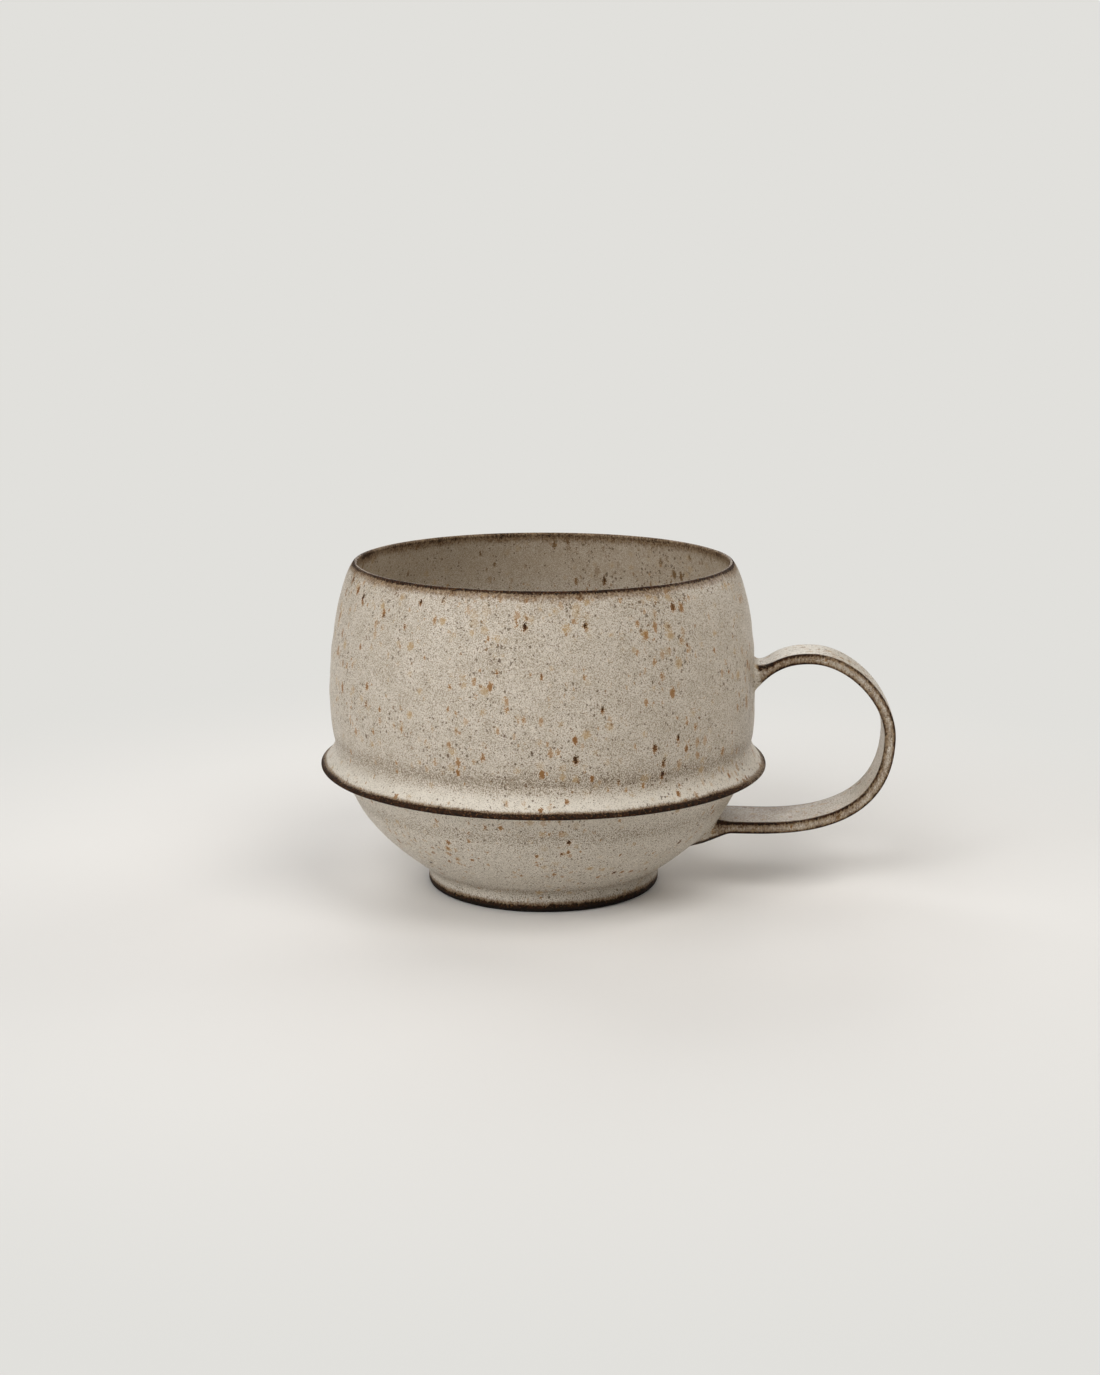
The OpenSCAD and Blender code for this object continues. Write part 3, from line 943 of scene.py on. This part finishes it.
# %% Camera
DISTANCE, HEIGHT, FOCAL_PX, LONG_SIDE_PX, SENSOR = 479.7, 151.5, 2101.2, 1375, 36
PITCH, YAW, ROLL, HANDLE_TURN = 0.21606, 0.00316, 0.0010, 0.091

forward = Vector((math.sin(YAW) * math.cos(PITCH), math.cos(YAW) * math.cos(PITCH), -math.sin(PITCH)))
rightward = Vector((math.cos(YAW), -math.sin(YAW), 0))
upward = rightward.cross(forward)
rolled_right = math.cos(ROLL) * rightward + math.sin(ROLL) * upward
rolled_up = math.cos(ROLL) * upward - math.sin(ROLL) * rightward
pose = Matrix((rolled_right, rolled_up, -forward)).transposed().to_4x4()
pose.translation = Vector((0, -DISTANCE * MM, HEIGHT * MM))
camera = bpy.data.objects.new("camera", bpy.data.cameras.new("camera"))
bpy.context.scene.collection.objects.link(camera)
camera.matrix_world = Matrix.Rotation(HANDLE_TURN, 4, "Z") @ pose
camera.data.sensor_width = SENSOR
camera.data.lens = FOCAL_PX / LONG_SIDE_PX * SENSOR
bpy.context.scene.camera = camera
print("lens:", round(camera.data.lens, 1), "mm")

# %% [markdown]
# ## Table, backdrop and light
#
# The mug stands on a plain pale table. Away from the mug, and for the camera
# only, the table fades into a backdrop of the same tone, so that no horizon
# shows. Seven soft lamps stand round the mug: a key and two more on the left,
# one high on the right, and three behind. A faint warm fill lifts the shadows.

# %% The table
BACKDROP = colour(225, 224, 220)
TABLE_SIZE, TABLE_DROP = 6, 0.02 * MM
FADE_FROM, FADE_TO = 0.07, 0.24

bpy.ops.object.select_all(action="DESELECT")
bpy.ops.mesh.primitive_plane_add(size=TABLE_SIZE, location=(0, 0, -TABLE_DROP))
table = bpy.context.object
table.name = "table"
paper = bpy.data.materials.new("pale table")
paper.use_nodes = True
laying = Recipe(paper.node_tree)
ground = laying.add("TexCoord").outputs["Object"]
distance = laying.add("VectorMath", {0: ground}, operation="LENGTH").outputs["Value"]
far_off = laying.ramp(distance, FADE_FROM, FADE_TO)
seen = laying.add("LightPath").outputs["Is Camera Ray"]
matt = laying.add("BsdfPrincipled", {"Base Color": (0.785, 0.768, 0.744, 1), "Roughness": 0.8})
glow = laying.add("Emission", {"Color": BACKDROP, "Strength": 1.0})
both = laying.add("MixShader", {0: laying.times(far_off, seen), 1: matt.outputs[0], 2: glow.outputs[0]})
laying.add("OutputMaterial", {"Surface": both.outputs[0]})
table.data.materials.append(paper)
laying.report("table")

# %% Backdrop and fill
world = bpy.data.worlds.new("studio")
bpy.context.scene.world = world
world.use_nodes = True
air = Recipe(world.node_tree)
seen = air.add("LightPath").outputs["Is Camera Ray"]
fill = air.add("Background", {"Color": (1, 0.93, 0.83, 1), "Strength": 0.1})
wall = air.add("Background", {"Color": BACKDROP, "Strength": 1.0})
room = air.add("MixShader", {0: seen, 1: fill.outputs[0], 2: wall.outputs[0]})
air.add("OutputWorld", {"Surface": room.outputs[0]})
air.report("room")

# %% Soft lamps
COOL, WARM = (0.97, 1, 1.03), (1, 0.98, 0.95)
AIM = Vector((0, 0, 0.03))


def softbox(name, azimuth, elevation, power, size=1.0, distance=2.2, tint=(1, 1, 1)):
    """A soft lamp aimed at the mug; azimuth 0 is the camera's side and 90 its right."""
    a, e = math.radians(azimuth) + HANDLE_TURN, math.radians(elevation)
    towards = Vector((math.sin(a) * math.cos(e), -math.cos(a) * math.cos(e), math.sin(e)))
    lamp = bpy.data.lights.new(name, "AREA")
    lamp.shape, lamp.size, lamp.energy, lamp.color = "SQUARE", size, power, tint
    holder = bpy.data.objects.new(name, lamp)
    bpy.context.scene.collection.objects.link(holder)
    holder.location = AIM + distance * towards
    holder.rotation_euler = (-towards).to_track_quat("-Z", "Y").to_euler()


softbox("key", -30, 40, 17.8)
softbox("left, low", -60, 18, 13.0, tint=COOL)
softbox("left, high", -70, 55, 6.0, size=1.2)
softbox("right, high", 40, 55, 17.6, size=1.2, tint=WARM)
softbox("behind, right", 120, 25, 14.4, size=1.2, tint=WARM)
softbox("behind", 180, 25, 10.0, size=1.2)
softbox("behind, left", -150, 40, 8.0)
print("lamps:", len(bpy.data.lights))

# %% The view, the sizes and the end
view = bpy.context.scene.view_settings
view.view_transform = "Standard"
